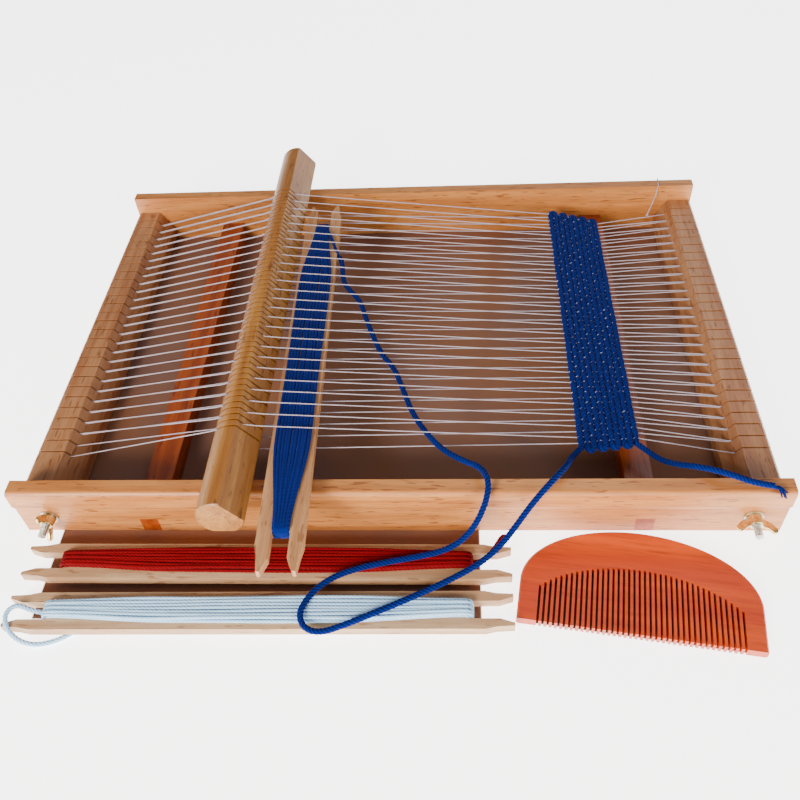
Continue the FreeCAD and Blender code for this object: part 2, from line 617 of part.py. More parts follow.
def weft_points():
    along, out = blue_axis()
    turn = math.radians(WEFT_EXIT_TURN)
    aside = BLUE_WIDTH / 2 + YARN_RADIUS * math.cos(turn) + 0.05
    leave = Vector(BLUE_PLACE[0], BLUE_PLACE[1], BLUE_UNDERSIDE + BLUE_THICK / 2)
    leave = leave + along * WEFT_EXIT + out * aside
    lead = out * math.sin(turn) - along * math.cos(turn)
    corner, way = cloth_corner(True)
    ends = (leave, leave + lead * WEFT_LEAD_OUT, corner + way * WEFT_LEAD_IN, corner)
    print("weft ends", [tuple(round(v, 2) for v in end) for end in ends])
    return [tuple(ends[0]), tuple(ends[1])] + WEFT_FREE_ROUTE + [tuple(ends[2]), tuple(ends[3])]


def tail_points():
    corner, way = cloth_corner(False)
    ends = (corner, corner + way * TAIL_LEAD_OUT)
    print("tail ends", [tuple(round(v, 2) for v in end) for end in ends])
    return [tuple(end) for end in ends] + TAIL_FREE_ROUTE


os.makedirs("parts", exist_ok=True)

save("front_rail", rail(0.0, -1))
save("back_rail", rail(RAIL_SPACING, 1))
for side_name, side in (("left", -1), ("right", 1)):
    save(side_name + "_crossbar", crossbar(side))
    save(side_name + "_end_board", end_board(side))
    save(side_name + "_board_bolts", board_bolts(side))
    for end_name, outward, turn in (("front", -1, 90 if side < 0 else 8), ("back", 1, 35)):
        save(side_name + "_" + end_name + "_washer", stacked(washer(), side, outward))
        save(side_name + "_" + end_name + "_wing_nut", stacked(wing_nut(turn), side, outward))
save("heddle_bar", heddle_bar())
save("warp_heddle_side", left_warp())
save("warp_cloth_side", right_warp())
save("warp_tie", warp_tie())
save("woven_band", woven_band())
for colour, shapes in (("blue", blue_shuttle()), ("red", spare_shuttle(RED_PLACE, RED_TURN)),
                       ("white", spare_shuttle(WHITE_PLACE, WHITE_TURN))):
    save(colour + "_shuttle", shapes[0])
    save(colour + "_winding", shapes[1])
save("comb", comb())
save("weft_yarn", yarn("weft_yarn", weft_points(), YARN_RADIUS))
save("cloth_tail_yarn", yarn("cloth_tail_yarn", tail_points(), YARN_RADIUS))
save("red_yarn_end", yarn("red_yarn_end", RED_END_ROUTE, THIN_YARN_RADIUS))
save("white_yarn_loop", yarn("white_yarn_loop", WHITE_LOOP_ROUTE, THIN_YARN_RADIUS))
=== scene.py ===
# %% [markdown]
# # A small table loom, strung and half way through a row
# The loom's frame, bar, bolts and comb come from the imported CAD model, which is
# loaded here as a fixed frame in metres.  What is soft is made in this file: the
# spun yarns, the wound shuttles and the woven band.  So are the finishes.  Lengths on
# the loom are written in millimetres, as on a drawing, and turned into metres where a
# mesh or a modifier takes them; the studio around it is laid out in metres.

# %% Load the frame
import math
import random

import bmesh
import bpy
from mathutils import Matrix, Vector


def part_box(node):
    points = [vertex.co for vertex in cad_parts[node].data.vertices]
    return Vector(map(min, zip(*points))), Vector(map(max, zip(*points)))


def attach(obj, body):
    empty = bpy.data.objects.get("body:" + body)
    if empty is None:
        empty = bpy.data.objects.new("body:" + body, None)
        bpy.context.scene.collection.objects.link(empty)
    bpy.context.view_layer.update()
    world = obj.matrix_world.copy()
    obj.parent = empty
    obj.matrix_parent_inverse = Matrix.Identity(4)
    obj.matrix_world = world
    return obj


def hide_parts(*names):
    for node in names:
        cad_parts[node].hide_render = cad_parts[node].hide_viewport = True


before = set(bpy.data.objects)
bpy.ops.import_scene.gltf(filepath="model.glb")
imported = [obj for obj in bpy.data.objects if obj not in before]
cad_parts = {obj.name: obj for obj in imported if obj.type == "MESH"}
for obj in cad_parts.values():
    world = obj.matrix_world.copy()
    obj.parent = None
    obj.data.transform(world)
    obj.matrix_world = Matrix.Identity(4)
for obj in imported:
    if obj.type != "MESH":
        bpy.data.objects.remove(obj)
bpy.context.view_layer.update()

MM = 0.001

# %% [markdown]
# ## Working with nodes
# A material and a Geometry Nodes tree are both graphs of nodes.  Adding them one by
# one takes many lines, so a small class makes any node in one call, and another
# lets Python's own signs add the Math nodes: `1 - mask * 0.5` is then a real graph.
# The same could be drawn by hand in the editor, but a written formula is shorter to
# read and easy to change.

# %% Graph helpers
class Link:
    """An output socket that can be added, multiplied and so on."""

    def __init__(self, graph, socket):
        self.graph = graph
        self.socket = socket

    def maths(self, operation, *others):
        return self.graph.maths(operation, self, *others)

    def __add__(self, other):
        return self.maths("ADD", other)

    def __sub__(self, other):
        return self.maths("SUBTRACT", other)

    def __rsub__(self, other):
        return self.graph.maths("SUBTRACT", other, self)

    def __mul__(self, other):
        return self.maths("MULTIPLY", other)

    def band(self, low, high):
        """0 below low, 1 above high, smooth between."""
        return self.graph.node("ShaderNodeMapRange", {"interpolation_type": "SMOOTHSTEP"},
                               {"Value": self, "From Min": low, "From Max": high})

    __radd__ = __add__
    __rmul__ = __mul__


class Graph:
    """A node tree that is being drawn."""

    def __init__(self, tree):
        self.tree = tree

    def node(self, kind, settings=None, inputs=None, output=0):
        node = self.tree.nodes.new(kind)
        for name, value in (settings or {}).items():
            if name == "stops":
                self.colour_stops(node.color_ramp, value)
            else:
                setattr(node, name, value)
        for name, value in (inputs or {}).items():
            self.feed(node.inputs[name], value)
        return Link(self, node.outputs[output])

    def maths(self, operation, *values):
        return self.node("ShaderNodeMath", {"operation": operation}, dict(enumerate(values)))

    def feed(self, socket, value):
        if isinstance(value, Link):
            self.tree.links.new(value.socket, socket)
        else:
            socket.default_value = value

    @staticmethod
    def colour_stops(ramp, stops):
        while len(ramp.elements) < len(stops):
            ramp.elements.new(0.5)
        for element, (place, colour) in zip(ramp.elements, stops):
            element.position = place
            element.color = (*colour, 1)


class Finish(Graph):
    """A material on one Principled shader; numbers given by name stay the same all over."""

    def __init__(self, name, **fixed):
        self.material = bpy.data.materials.new(name)
        self.material.use_nodes = True
        super().__init__(self.material.node_tree)
        self.shader = self.tree.nodes["Principled BSDF"]
        for socket, value in fixed.items():
            self.shader.inputs[socket.replace("_", " ")].default_value = value

    def set(self, socket, value):
        self.feed(self.shader.inputs[socket], value)

    def place(self, stretch=(1, 1, 1), turn=0.0):
        """Object coordinates, turned about Z and then stretched."""
        here = self.node("ShaderNodeTexCoord", output="Object")
        if turn:
            rotation = (0, 0, math.radians(turn))
            here = self.node("ShaderNodeMapping", None, {"Vector": here, "Rotation": rotation})
        return self.node("ShaderNodeMapping", None, {"Vector": here, "Scale": stretch})

    def axis(self, place, number):
        """One coordinate of a place: 0 for X, 1 for Y, 2 for Z."""
        return self.node("ShaderNodeSeparateXYZ", None, {0: place}, number)

    def noise(self, place, scale, detail=3.0, rough=0.5):
        return self.node("ShaderNodeTexNoise", None,
                         {"Vector": place, "Scale": scale, "Detail": detail, "Roughness": rough})

    def blend(self, factor, first, second, way="MIX"):
        mixer = self.tree.nodes.new("ShaderNodeMix")
        mixer.data_type = "RGBA"
        mixer.blend_type = way
        for index, value in ((0, factor), (6, first), (7, second)):
            self.feed(mixer.inputs[index], (*value, 1) if isinstance(value, tuple) else value)
        return Link(self, mixer.outputs[2])

    def bump(self, height, depth, strength):
        relief = {"Height": height, "Distance": depth, "Strength": strength}
        self.set("Normal", self.node("ShaderNodeBump", None, relief))


# %% [markdown]
# ## The camera, the light and the floor
# The camera stands above the front of the loom and looks down at it.  It is turned
# a little to the left and rolled a little, which is what makes the rails climb to
# the right.  One broad lamp from the left gives the soft shadows, a second one fills
# the front faces.  The floor is white, with tan table top under the loom and the comb,
# which is what shows between the warp threads and the teeth.  A real table could be
# modelled too, but it isn't part of the loom, so one floor with a mask does the work.

# %% Camera
CAMERA_PLACE = Vector((36.99, -254.07, 379.97)) * MM
CAMERA_YAW = math.radians(-5.432)
CAMERA_PITCH = math.radians(46.572)
CAMERA_ROLL = math.radians(-4.563)
CAMERA_LENS = 38.02
CAMERA_SHIFT = (-0.00835, -0.02148)

level = Vector((math.sin(CAMERA_YAW), math.cos(CAMERA_YAW), 0))
across = Vector((math.cos(CAMERA_YAW), -math.sin(CAMERA_YAW), 0))
ahead = level * math.cos(CAMERA_PITCH) - Vector((0, 0, math.sin(CAMERA_PITCH)))
upward = across.cross(ahead)
camera_right = across * math.cos(CAMERA_ROLL) + upward * math.sin(CAMERA_ROLL)
camera_up = upward * math.cos(CAMERA_ROLL) - across * math.sin(CAMERA_ROLL)
camera = bpy.data.objects.new("camera", bpy.data.cameras.new("camera"))
camera.data.lens = CAMERA_LENS
camera.data.shift_x, camera.data.shift_y = CAMERA_SHIFT
camera.data.clip_start = 0.01
camera.matrix_world = Matrix.Translation(CAMERA_PLACE) @ Matrix(
    (camera_right, camera_up, -ahead)).transposed().to_4x4()
bpy.context.collection.objects.link(camera)
bpy.context.scene.camera = camera
print("camera at", tuple(round(v, 3) for v in CAMERA_PLACE))


# %% Lamps and sky
LAMP_AIM = Vector((0, 100, 20)) * MM


def lamp(name, place, size, power, colour):
    """A square lamp that looks at the middle of the loom; size in metres, power in watts."""
    data = bpy.data.lights.new(name, "AREA")
    data.size = size
    data.energy = power
    data.color = colour
    thing = bpy.data.objects.new(name, data)
    thing.location = place
    thing.rotation_euler = (LAMP_AIM - Vector(place)).to_track_quat("-Z", "Y").to_euler()
    bpy.context.collection.objects.link(thing)
    print("lamp", name, power, "W")


lamp("key", (-0.55, -1.00, 0.62), 0.45, 31.0, (1.0, 0.94, 0.86))
lamp("front fill", (0.80, -0.9, 0.42), 0.6, 12.0, (1.0, 0.93, 0.84))
lamp("back rim", (0.35, 0.9, 0.9), 0.6, 3.0, (0.95, 0.97, 1.0))

sky = bpy.data.worlds.new("studio")
bpy.context.scene.world = sky
sky.use_nodes = True
sky.node_tree.nodes["Background"].inputs["Color"].default_value = (0.90, 0.95, 1.0, 1)
sky.node_tree.nodes["Background"].inputs["Strength"].default_value = 0.30

# %% Floor
FLOOR_HALF = 6.0
COMB_TURN = 8.3
EDGE = 1 * MM
floor_mesh = bpy.data.meshes.new("floor")
floor_mesh.from_pydata([(-FLOOR_HALF, -FLOOR_HALF, 0), (FLOOR_HALF, -FLOOR_HALF, 0),
                        (FLOOR_HALF, FLOOR_HALF, 0), (-FLOOR_HALF, FLOOR_HALF, 0)], [], [(0, 1, 2, 3)])
floor = bpy.data.objects.new("floor", floor_mesh)
bpy.context.collection.objects.link(floor)
floor_finish = Finish("floor paint", Roughness=0.7, Specular_IOR_Level=0.1, Emission_Strength=4.0)
floor_mesh.materials.append(floor_finish.material)


def within(value, low, high):
    """1 between low and high, 0 outside, with a soft edge."""
    return value.band(low - EDGE, low) - value.band(high, high + EDGE)


def patch(place, west, east, south, north):
    """1 inside a rectangle on the floor, whose sides are in metres, and 0 outside it."""
    from_the_side = within(floor_finish.axis(place, 0), west, east)
    from_the_front = within(floor_finish.axis(place, 1), south, north)
    return from_the_side * from_the_front


spot = floor_finish.place()
under_loom = patch(spot, -0.200, 0.200, 0.0, 0.266)
under_sticks = patch(spot, -0.180, 0.045, -0.056, 0.001)
under_comb = patch(floor_finish.place(turn=COMB_TURN), 0.0785, 0.1760, -0.0455, -0.0070)
table_mask = under_loom.maths("MAXIMUM", under_sticks).maths("MAXIMUM", under_comb)
cloudy = floor_finish.noise(spot, 14.0, 3.0)
table_colour = floor_finish.blend(cloudy.band(0.3, 0.7), (0.27, 0.115, 0.060), (0.22, 0.115, 0.085))
floor_finish.set("Base Color", floor_finish.blend(table_mask, (0.90, 0.90, 0.90), table_colour))
floor_finish.set("Emission Color", floor_finish.blend(table_mask, (1.0, 1.0, 1.0), (0.0, 0.0, 0.0)))
print("floor", 2 * FLOOR_HALF, "m wide, with three tan patches")

# %% [markdown]
# ## Yarn finishes
# Wool and acrylic yarn is matt and a little hairy.  The grooves between its plies
# are darker, because light gets lost there, so each yarn mesh carries an attribute
# called `ply` that is 1 on the crest of a ply and 0 in a groove.  The colour follows
# it, a fine noise stands for single hairs, and sheen gives the soft pale edge.  Real
# hair strands would cost far more and hardly show at this size.


# %% Yarn colours
def yarn_finish(name, crest, groove, hair=0.35):
    finish = Finish(name, Roughness=0.95, Specular_IOR_Level=0.1, Sheen_Weight=0.05, Sheen_Roughness=0.5)
    ply = finish.node("ShaderNodeAttribute", {"attribute_name": "ply"}, output="Fac")
    place = finish.place()
    hairs = finish.noise(place, 2600.0, 2.0)
    patches = finish.noise(place, 90.0, 2.0)
    shade = ply * 0.75 + patches * 0.25 + hairs * hair - hair / 2
    colour = finish.blend(shade.band(0.05, 0.95), groove, crest)
    finish.set("Base Color", colour)
    finish.bump(hairs + ply, 0.00012, 0.5)
    return finish.material


blue_wool = yarn_finish("blue wool", (0.000, 0.014, 0.190), (0.000, 0.001, 0.030))
red_wool = yarn_finish("red wool", (0.240, 0.000, 0.004), (0.050, 0.000, 0.001))
pale_wool = yarn_finish("pale blue wool", (0.560, 0.820, 1.000), (0.180, 0.400, 0.780))
warp_cotton = yarn_finish("warp cotton", (0.900, 0.880, 0.940), (0.620, 0.580, 0.660))
print("yarn finishes:", [wool.name for wool in (blue_wool, red_wool, pale_wool, warp_cotton)])

# %% [markdown]
# ## Spinning a yarn
# Real yarn is two to four plies twisted together.  A Geometry Nodes tree does the
# same: it takes any line, cuts it into short steps, turns its cross-section a little
# further at each step (the tilt), and draws a lobed outline along it.  Separate plies
# could be wound round each other instead, but one lobed skin is lighter, and it stays
# closed where the line bends.  Every yarn on the loom, loose, wound or woven, is made
# by this one tree.


# %% The yarn tree
def yarn_tree():
    tree = bpy.data.node_groups.new("spun yarn", "GeometryNodeTree")
    face = tree.interface
    face.new_socket("Line", in_out="INPUT", socket_type="NodeSocketGeometry")
    for name, kind, value in (("Radius", "Float", 0.0016), ("Plies", "Int", 3), ("Turns", "Float", 110.0),
                              ("Step", "Float", 0.0008), ("Groove", "Float", 0.2), ("Sides", "Int", 12)):
        face.new_socket(name, in_out="INPUT", socket_type="NodeSocket" + kind).default_value = value
    face.new_socket("Finish", in_out="INPUT", socket_type="NodeSocketMaterial")
    face.new_socket("Yarn", in_out="OUTPUT", socket_type="NodeSocketGeometry")
    graph = Graph(tree)
    given = tree.nodes.new("NodeGroupInput")
    ask = {socket.name: Link(graph, socket) for socket in given.outputs if socket.name}

    steps = graph.node("GeometryNodeResampleCurve", {"mode": "LENGTH"},
                       {"Curve": ask["Line"], "Length": ask["Step"]})
    along = graph.node("GeometryNodeSplineParameter", output="Length")
    turned = graph.node("GeometryNodeSetCurveTilt", None,
                        {"Curve": steps, "Tilt": along * ask["Turns"] * (2 * math.pi)})

    ring = graph.node("GeometryNodeCurvePrimitiveCircle", None, {"Resolution": ask["Sides"], "Radius": 1.0})
    round_it = graph.node("GeometryNodeSplineParameter", output="Factor")
    wave = round_it * ask["Plies"] * math.pi
    lobe = wave.maths("COSINE").maths("ABSOLUTE")
    size = ask["Radius"] * (1 - ask["Groove"] * (1 - lobe))
    spot = graph.node("GeometryNodeInputPosition")
    grown = graph.node("ShaderNodeVectorMath", {"operation": "SCALE"}, {0: spot, "Scale": size})
    marked = graph.node("GeometryNodeStoreNamedAttribute", {"data_type": "FLOAT", "domain": "POINT"},
                        {"Geometry": ring, "Name": "ply", "Value": lobe})
    outline = graph.node("GeometryNodeSetPosition", None, {"Geometry": marked, "Position": grown})

    skin = graph.node("GeometryNodeCurveToMesh", None,
                      {"Curve": turned, "Profile Curve": outline, "Fill Caps": True})
    smooth = graph.node("GeometryNodeSetShadeSmooth", None, {"Geometry": skin})
    real = graph.node("GeometryNodeRealizeInstances", None, {"Geometry": smooth})
    done = graph.node("GeometryNodeSetMaterial", None, {"Geometry": real, "Material": ask["Finish"]})
    tree.links.new(done.socket, tree.nodes.new("NodeGroupOutput").inputs[0])
    return tree


SPUN = yarn_tree()
INPUTS = {item.name: item.identifier for item in SPUN.interface.items_tree if item.in_out == "INPUT"}
print("yarn tree takes", sorted(INPUTS))


def line_object(name, routes, kind="POLY", closed=False):
    """Lines through lists of points, in metres; NURBS for a loose cord's control points."""
    curve = bpy.data.curves.new(name, "CURVE")
    curve.dimensions = "3D"
    for route in routes:
        spline = curve.splines.new(kind)
        spline.points.add(len(route) - 1)
        for point, spot in zip(spline.points, route):
            point.co = (*spot, 1)
        spline.use_cyclic_u = closed
        if kind == "NURBS":
            spline.order_u = 3
            spline.use_endpoint_u = not closed
            spline.resolution_u = 16
    thing = bpy.data.objects.new(name, curve)
    bpy.context.collection.objects.link(thing)
    return thing


def as_mesh(thing, name):
    """What an object looks like after its modifiers, as a plain mesh object at the origin."""
    bpy.context.view_layer.update()
    solved = thing.evaluated_get(bpy.context.evaluated_depsgraph_get())
    mesh = bpy.data.meshes.new_from_object(solved)
    mesh.name = name
    piece = bpy.data.objects.new(name, mesh)
    bpy.context.collection.objects.link(piece)
    data = thing.data
    bpy.data.objects.remove(thing)
    if data.users == 0 and isinstance(data, bpy.types.Curve):
        bpy.data.curves.remove(data)
    return piece


def spin(name, routes, finish, kind="POLY", closed=False, **sizes):
    """Spin yarn along lines and return the finished mesh."""
    line = line_object(name + "_line", routes, kind, closed)
    modifier = line.modifiers.new("spun", "NODES")
    modifier.node_group = SPUN
    modifier[INPUTS["Finish"]] = finish
    for size, value in sizes.items():
        modifier[INPUTS[size]] = value
    piece = as_mesh(line, name)
    print(name, len(piece.data.polygons), "faces")
    return piece


# %% [markdown]
# ## The loose yarns
# Four lengths of yarn lie free: the weft, which runs from the shuttle in the shed
# out over the front rail, round a loose loop and back into the cloth; the cloth's
# tail on the front rail; the red yarn's end; and a slack turn of the pale yarn.
# A simulated rope would settle somewhere new each time and couldn't be made to pass
# through the shed, so each route is a short list of points, in millimetres,
# which a NURBS line rounds off.

# %% Routes of the loose yarns
WEFT_ROUTE = [
    (-40.64, 175.98, 42.2), (-38.11, 169.45, 42.2),
    (-37.4, 160.0, 41.2), (-35.6, 152.4, 39.2), (-31.0, 146.4, 38.2),
    (-24.6, 137.6, 37.6), (-20.0, 121.6, 37.1), (-14.4, 106.0, 36.5), (-9.6, 93.4, 36.1),
    (-1.2, 82.0, 35.5), (4.2, 66.0, 35.1),
    (11.0, 46.0, 34.3), (24.0, 25.5, 34.2), (36.5, 14.5, 36.6), (46.4, 7.6, 40.0),
    (50.0, -1.6, 40.6), (48.6, -10.4, 37.0), (44.6, -16.8, 29.6), (38.6, -21.8, 21.6),
    (28.5, -26.0, 15.8), (13.0, -29.2, 14.6), (-4.0, -32.4, 14.3), (-19.0, -36.4, 14.2),
    (-31.0, -42.4, 14.0), (-39.0, -51.4, 13.9), (-42.2, -60.6, 13.7), (-38.6, -67.0, 12.4),
    (-31.0, -68.8, 12.0), (-20.5, -65.4, 12.8), (-6.0, -59.6, 14.1), (12.0, -51.2, 14.4),
    (30.0, -42.0, 14.6), (44.6, -33.6, 15.6), (54.8, -26.2, 19.6), (62.4, -19.4, 26.4),
    (69.4, -13.0, 34.4), (77.6, -5.6, 40.2), (86.0, 3.6, 41.2), (90.4, 11.8, 37.0),
    (92.0, 18.2, 30.8), (94.99, 25.7, 25.64), (100.5, 31.5, 25.64)]
TAIL_ROUTE = [
    (129.5, 36.1, 23.26), (134.73, 30.59, 23.26),
    (139.6, 23.6, 25.0), (145.4, 16.6, 30.0), (152.4, 10.4, 36.4), (161.0, 5.2, 40.0),
    (170.4, 1.6, 39.6), (179.6, -1.2, 37.6), (188.4, -2.6, 37.1)]
RED_END_ROUTE = [
    (39.0, -28.0, 6.6), (45.6, -27.6, 7.6), (50.2, -25.0, 10.2), (53.4, -20.8, 11.8),
    (55.8, -16.0, 10.8), (57.6, -12.0, 7.2), (58.6, -9.6, 3.0)]
PALE_LOOP_ROUTE = [
    (-171.0, -56.8, 7.0), (-177.5, -56.6, 9.0), (-183.6, -54.6, 11.0), (-187.6, -57.4, 11.4),
    (-187.8, -62.6, 11.2), (-185.0, -67.8, 8.4), (-179.6, -70.8, 4.0), (-172.0, -71.4, 1.7),
    (-163.6, -69.2, 1.6), (-156.6, -65.2, 1.6), (-150.6, -60.4, 1.6)]


def metres(route):
    """A list of points in millimetres, as metres."""
    return [tuple(v * MM for v in spot) for spot in route]


def line_points(route):
    """Points read from the route's own NURBS line, in order."""
    plain = as_mesh(line_object("route", [metres(route)], "NURBS"), "route")
    points = [vertex.co.copy() for vertex in plain.data.vertices]
    bpy.data.objects.remove(plain)
    return points


# %% Spin them
YARN_THICK = 3.3 * MM
THIN_YARN_THICK = 2.6 * MM


def loose_yarn(name, node, route, finish, thick, body):
    """A free yarn, spun along its route in place of the model's yarn."""
    piece = spin(name, [metres(route)], finish, "NURBS", Radius=thick / 2, Plies=4, Turns=125.0, Sides=16)
    path = line_points(route)
    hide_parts(node)
    metres(route)[0]
    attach(piece, body)


loose_yarn("weft_strand", "weft_yarn", WEFT_ROUTE, blue_wool, YARN_THICK, "root")
loose_yarn("tail_strand", "cloth_tail_yarn", TAIL_ROUTE, blue_wool, YARN_THICK, "root")
loose_yarn("red_strand_end", "red_yarn_end", RED_END_ROUTE, red_wool, THIN_YARN_THICK,
           "red_shuttle_body")
loose_yarn("pale_strand_loop", "white_yarn_loop", PALE_LOOP_ROUTE, pale_wool, THIN_YARN_THICK,
           "white_shuttle_body")

# %% [markdown]
# ## The cloth's frayed tail
# Where the tail ends, the yarn has come apart: single plies spread out and dip over
# the end of the rail.  Each is a thin yarn of its own on a short line, whose bends are
# drawn at random from a fixed seed, so that every run lays them the same way.

# %% Frayed end
SEED = 4
dice = random.Random(SEED)
TAIL_END = Vector(TAIL_ROUTE[-1])


def frayed_end(count):
    """Single plies that start inside the tail's end and spread forwards and down."""
    routes = []
    for _ in range(count):
        side = dice.uniform(-1.0, 1.0)
        drop = dice.uniform(0.6, 3.4)
        reach = dice.uniform(4.0, 7.5)
        start = TAIL_END + Vector((-2.0, dice.uniform(-0.7, 0.7), dice.uniform(-0.6, 0.7)))
        middle = TAIL_END + Vector((reach * 0.5, -1.6 + side, 0.3))
        end = TAIL_END + Vector((reach * 0.75, -3.4 + side * 3.0, -drop))
        routes.append(metres([start, (start + middle) / 2, middle, end]))
    return spin("frayed_strands", routes, blue_wool, "NURBS", Radius=0.45 * MM, Plies=2, Turns=260.0,
                Step=0.4 * MM, Sides=8)


frayed = frayed_end(11)
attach(frayed, "root")

# %% [markdown]
# ## The wound shuttles
# Yarn is wound lengthwise round a stick, through the forks at both ends.  Each turn is
# one closed loop.  In the middle the turns lie side by side over the stick's width,
# and towards the forks they crowd together until they fit the gap.  The spare sticks
# hold two layers, and the one in use is half empty.  A block with a striped bump would
# be quicker, but the winding's ends show every single turn, so each one is spun.

# %% Wound yarn
FORK_GAP = 9.2
FORK_SLACK = 0.2
FORK_DROP = 0.9
SPREADING = 58.0
SWAY = 0.28  # sideways and up-and-down waves of a turn, and the spread of its height
RIPPLE = 0.12
UNEVEN = 0.06
SETTLED = 0.8  # how far one layer stands off the next, as a share of the yarn
FULL_CIRCLE = 6.3


def wound_turn(place, along, across, half_length, half_thick, wide, narrow, layer):
    """One turn round a stick: out over the top, through the fork, and back underneath.

    It keeps its height to FORK_DROP before its end, and spreads from the narrow place
    in the fork to its wide place over the length of SPREADING."""
    steps = 24
    flat = 1 - FORK_DROP / half_length
    ways = [1.0] + [flat - 2 * flat * number / steps for number in range(steps + 1)] + [-1.0]
    wander = dice.uniform(0, FULL_CIRCLE)
    points = []
    for side in (1, -1):
        for share_of_way in ways:
            way = side * share_of_way
            share = min(1.0, (1 - abs(way)) * half_length / SPREADING)
            ease = share * share * (3 - 2 * share)
            offset = narrow + (wide - narrow) * ease + SWAY * math.sin(5 * way + wander) * ease
            in_fork = abs(share_of_way) == 1.0
            lift = side * (half_thick + layer * (1 - ease) * 0.5) * (0.5 if in_fork else 1.0)
            lift += RIPPLE * math.sin(9 * way + 2 * wander) * ease
            points.append(place + along * (way * half_length) + across * offset + Vector((0, 0, lift)))
    return points


def joined(piece, other):
    """One object that holds both meshes, which share one finish."""
    shell = bmesh.new()
    shell.from_mesh(piece.data)
    shell.from_mesh(other.data)
    shell.to_mesh(piece.data)
    shell.free()
    bpy.data.objects.remove(other)
    return piece


BLUE_LAST_TURN = [
    (-54.2, 206.4, 44.4), (-52.0, 203.0, 45.7), (-48.0, 195.0, 45.9), (-45.0, 185.5, 45.9),
    (-43.0, 179.4, 45.5), (-41.6, 176.9, 44.0), (-40.7, 175.7, 42.3), (-40.0, 174.0, 42.2)]


def winding(name, colour, finish, turn, half_length, wound_width, layers, thick, last_turn=None):
    """All the turns on one stick, which is turned from X by turn degrees.

    layers gives the turns in each layer, and last_turn the way the yarn leaves the stick."""
    low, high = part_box(colour + "_shuttle")
    place = (low + high) / 2 / MM
    along = Vector((math.cos(math.radians(turn)), math.sin(math.radians(turn)), 0))
    across = Vector((-along.y, along.x, 0))
    stick_half = (high.z - low.z) / MM / 2
    routes = []
    for layer, count in enumerate(layers):
        room = (wound_width - thick) / 2 - layer * thick * 0.5
        squeeze = (FORK_GAP - thick) / 2 - FORK_SLACK
        for number in range(count):
            share = 2 * number / (count - 1) - 1
            half_thick = stick_half + thick * (0.5 + SETTLED * layer) + dice.uniform(-UNEVEN, UNEVEN)
            reach = half_length + layer * thick * SETTLED
            routes.append(metres(wound_turn(place, along, across, reach, half_thick,
                                            room * share, squeeze * share, number % 2 + layer)))
    look = {"Radius": thick / 2 * MM, "Plies": 3, "Turns": 150.0, "Step": 1.3 * MM, "Sides": 9}
    piece = spin(name, routes, finish, "NURBS", True, **look)
    if last_turn:
        leaving = spin(name + "_end", [metres(last_turn)], finish, "NURBS", **look)
        piece = joined(piece, leaving)
    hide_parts(colour + "_winding")
    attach(piece, colour + "_shuttle_body")


SPARE = {"half_length": 103.9, "wound_width": 14.4, "layers": [8, 7], "thick": 1.9}
winding("blue_wound_yarn", "blue", blue_wool, turn=91.2, half_length=120.6, wound_width=19.4,
        layers=[11], thick=2.1, last_turn=BLUE_LAST_TURN)
winding("red_wound_yarn", "red", red_wool, turn=0.0, **SPARE)
winding("pale_wound_yarn", "white", pale_wool, turn=0.6, **SPARE)

# %% [markdown]
# ## The woven band
# One length of blue yarn goes up and down through the warp ten times, over one thread
# and under the next, and turns round in a loop at each edge.  The warp threads run the
# other way and bend against it, so that they show as small pale dots on the cloth.
# A flat strip with a woven picture on it would look right from afar only; here both
# yarns follow a rule, so a loop can lay every crossing.

# %% Woven band
PICKS = 10
WARP_ENDS = 52
BAND_LEFT = 98.5
BAND_RIGHT = 131.5
BAND_LEFT_Z = 25.8
BAND_RIGHT_Z = 23.1
LEFT_WARP = (34.0, 240.5)
RIGHT_WARP = (39.4, 231.4)
FRONT_LOOP = (4.4, 3.4)
BACK_LOOP = 1.0
PICK_PITCH = (BAND_RIGHT - BAND_LEFT) / PICKS
PICK_THICK = 3.7
PICK_RISE = 0.45
PICK_SWAY = 0.10
WARP_BEND = 1.32
LOOP_ROUND = 1.6
LOOP_SETBACK = 0.6


def band_share(x):
    return (x - BAND_LEFT) / (BAND_RIGHT - BAND_LEFT)


def band_z(x):
    return BAND_LEFT_Z + (BAND_RIGHT_Z - BAND_LEFT_Z) * band_share(x)


def warp_y(x, number):
    """Where one warp end crosses the line at x."""
    share = band_share(x)
    front = LEFT_WARP[0] + (RIGHT_WARP[0] - LEFT_WARP[0]) * share
    back = LEFT_WARP[1] + (RIGHT_WARP[1] - LEFT_WARP[1]) * share
    return front + (back - front) * number / (WARP_ENDS - 1)


def pick_x(pick):
    return BAND_LEFT + PICK_PITCH * (pick + 0.5)


def weft_snake():
    """The weft's way through the cloth, from its first row to its last."""
    points = [Vector(WEFT_ROUTE[-1])]
    for pick in range(PICKS):
        x = pick_x(pick)
        outward = pick % 2 == 0
        ends = range(WARP_ENDS) if outward else range(WARP_ENDS - 1, -1, -1)
        lean = dice.uniform(0, FULL_CIRCLE)
        for number in ends:
            for part in (0.0, 0.5):
                place = number + (part if outward else -part)
                if not 0 <= place <= WARP_ENDS - 1:
                    continue
                rise = PICK_RISE * math.cos(math.pi * (place + pick))
                sway = PICK_SWAY * math.sin(place * 0.55 + lean)
                points.append(Vector((x + sway, warp_y(x, place), band_z(x) + rise)))
        if pick == PICKS - 1:
            break
        edge = points[-1]
        way = 1 if outward else -1
        reach = BACK_LOOP if outward else FRONT_LOOP[0] + (FRONT_LOOP[1] - FRONT_LOOP[0]) * band_share(x)
        middle = Vector((x + PICK_PITCH / 2, edge.y, band_z(x + PICK_PITCH / 2)))
        for angle in (-75, -35, 0, 35, 75):
            turn = math.radians(angle)
            bulge = reach - LOOP_SETBACK + LOOP_ROUND * math.cos(turn)
            points.append(middle + Vector((math.sin(turn) * PICK_PITCH * 0.5, way * bulge, 0)))
    points.append(Vector(TAIL_ROUTE[0]))
    return points


